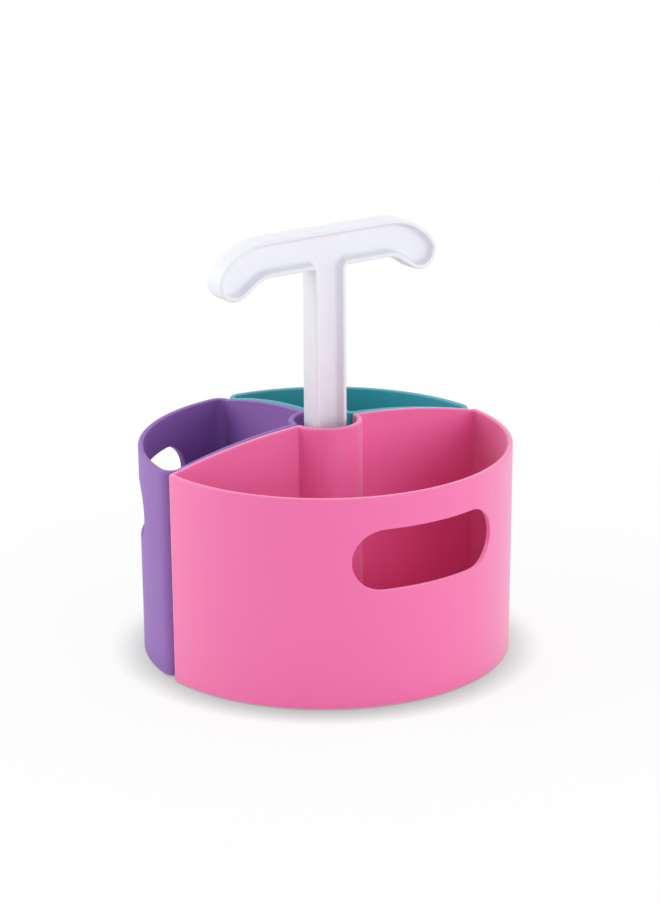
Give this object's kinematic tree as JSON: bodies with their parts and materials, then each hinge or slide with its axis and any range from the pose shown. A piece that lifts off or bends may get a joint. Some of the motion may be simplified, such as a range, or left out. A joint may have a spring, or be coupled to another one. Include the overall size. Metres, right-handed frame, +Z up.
{
  "type": "lazy susan desk organizer",
  "caption": "Round desk caddy on a ball-race turntable, with a half-circle bin and quarter-circle bins that lift out, hand holes and a central T carry handle.",
  "frame": {"origin": "centre of the footprint, on the table under the rubber feet", "axes": "+Z up along the turning axis, +X along the handle bar and the joint between the half bin and the quarter bins, -Y out through the half bin's hand hole"},
  "size_m": [0.1598, 0.1597, 0.1845],
  "materials": {
    "pink_plastic": "satin moulded",
    "purple_plastic": "satin moulded",
    "teal_plastic": "satin moulded",
    "white_plastic": "smooth moulded",
    "steel": "zinc-plated",
    "acetal": "natural",
    "rubber": "matt"
  },
  "bodies": {
    "base": {"base_plate": "white_plastic", "foot_1": "rubber", "foot_2": "rubber", "foot_3": "rubber", "foot_4": "rubber", "foot_5": "rubber", "foot_6": "rubber", "lower_race": "steel", "lower_race_screws": "steel", "pivot_bush": "acetal"},
    "ball_cage": {"ball_cage": "acetal", "bearing_balls": "steel"},
    "turntable": {"turntable_tray": "white_plastic", "upper_race": "steel", "upper_race_screws": "steel", "pivot_washer": "steel", "pivot_screw": "steel", "carry_handle": "white_plastic"},
    "half_bin": {"half_bin": "pink_plastic"},
    "left_quarter_bin": {"left_quarter_bin": "purple_plastic"},
    "right_quarter_bin": {"right_quarter_bin": "teal_plastic"}
  },
  "joints": [
    {"name": "turntable_spin", "type": "hinge", "parent": "base", "child": "turntable", "pos_m": [0, 0, 0.00535], "axis": [0, 0, 1], "continuous": true},
    {"name": "ball_cage_spin", "type": "hinge", "parent": "base", "child": "ball_cage", "pos_m": [0, 0, 0.00535], "axis": [0, 0, 1], "continuous": true},
    {"name": "half_bin_lift", "type": "slide", "parent": "turntable", "child": "half_bin", "axis": [0, -0.5, 0.866], "range_m": [0, 0.2]},
    {"name": "left_bin_lift", "type": "slide", "parent": "turntable", "child": "left_quarter_bin", "axis": [-0.3536, 0.3536, 0.866], "range_m": [0, 0.2]},
    {"name": "right_bin_lift", "type": "slide", "parent": "turntable", "child": "right_quarter_bin", "axis": [0.3536, 0.3536, 0.866], "range_m": [0, 0.2]}
  ],
  "couplings": [
    {"joint": "ball_cage_spin", "follows": "turntable_spin", "ratio": 0.5}
  ]
}
